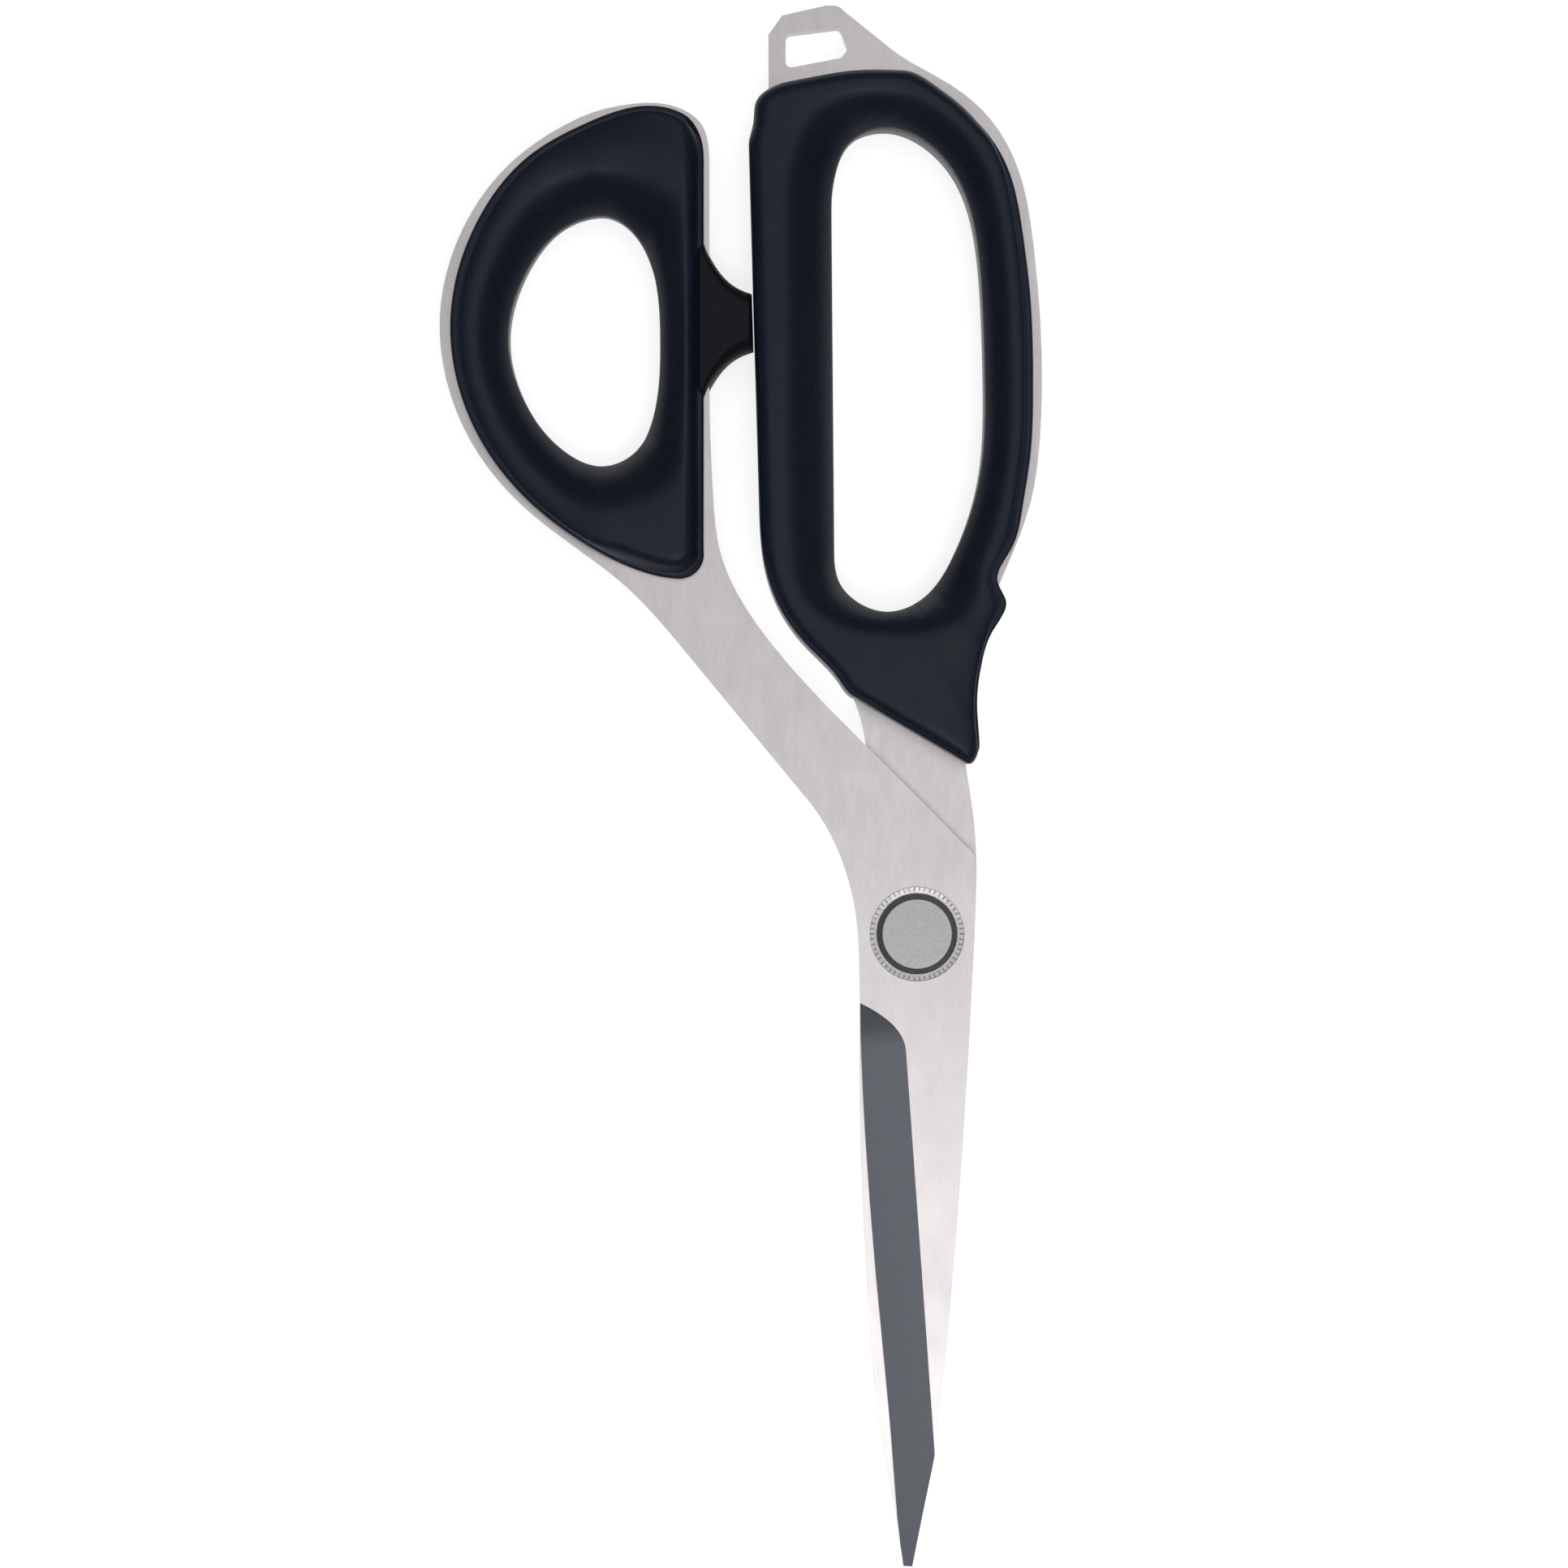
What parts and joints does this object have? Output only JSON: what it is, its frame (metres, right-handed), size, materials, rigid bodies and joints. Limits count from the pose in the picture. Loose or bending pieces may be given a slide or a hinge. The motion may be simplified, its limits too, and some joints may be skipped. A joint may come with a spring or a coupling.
{
  "type": "fabric shears",
  "caption": "Bent-handle fabric shears: two flat steel blades on an adjustable pivot, oval thumb grip, long finger grip, closing stop and hang tab.",
  "frame": {"origin": "on the pivot axis at the floor of the tension screw's coin slot, level with the rear face of the finger blade", "axes": "+Y from the blades to the handles along the shears' length, +Z square to the blades towards the thumb blade, +X towards the finger grip's outer side"},
  "size_m": [0.0962, 0.2499, 0.016],
  "materials": {
    "blade_steel": "fine satin grain, ground bevel darker and brighter polished",
    "grip_core": "hard moulded plastic, fine texture",
    "grip_cover": "soft-touch elastomer, satin, near-black blue",
    "stop_rubber": "grainy elastomer, matt black",
    "pivot_steel": "blasted face with a polished bevel",
    "washer_steel": "satin with fine teeth",
    "washer_polymer": "plain",
    "spring_steel": "plain"
  },
  "bodies": {
    "finger_side": {"finger_blade": "blade_steel", "finger_grip_core": "grip_core", "finger_grip_cover": "grip_cover", "thrust_washer": "washer_polymer", "disc_spring": "spring_steel"},
    "thumb_side": {"thumb_blade": "blade_steel", "thumb_grip_core": "grip_core", "thumb_grip_cover": "grip_cover", "closing_stop": "stop_rubber", "pivot_nut": "pivot_steel", "serrated_washer": "washer_steel"},
    "tension_screw": {"tension_screw": "pivot_steel"}
  },
  "joints": [
    {"name": "blade_pivot", "type": "hinge", "parent": "finger_side", "child": "thumb_side", "pos_m": [0, 0, 0.00267], "axis": [0, 0, 1], "range_deg": [0, 134]},
    {"name": "tension_adjust", "type": "hinge", "parent": "thumb_side", "child": "tension_screw", "pos_m": [0, 0, 0], "axis": [0, 0, 1], "range_deg": [-90, 90]}
  ]
}
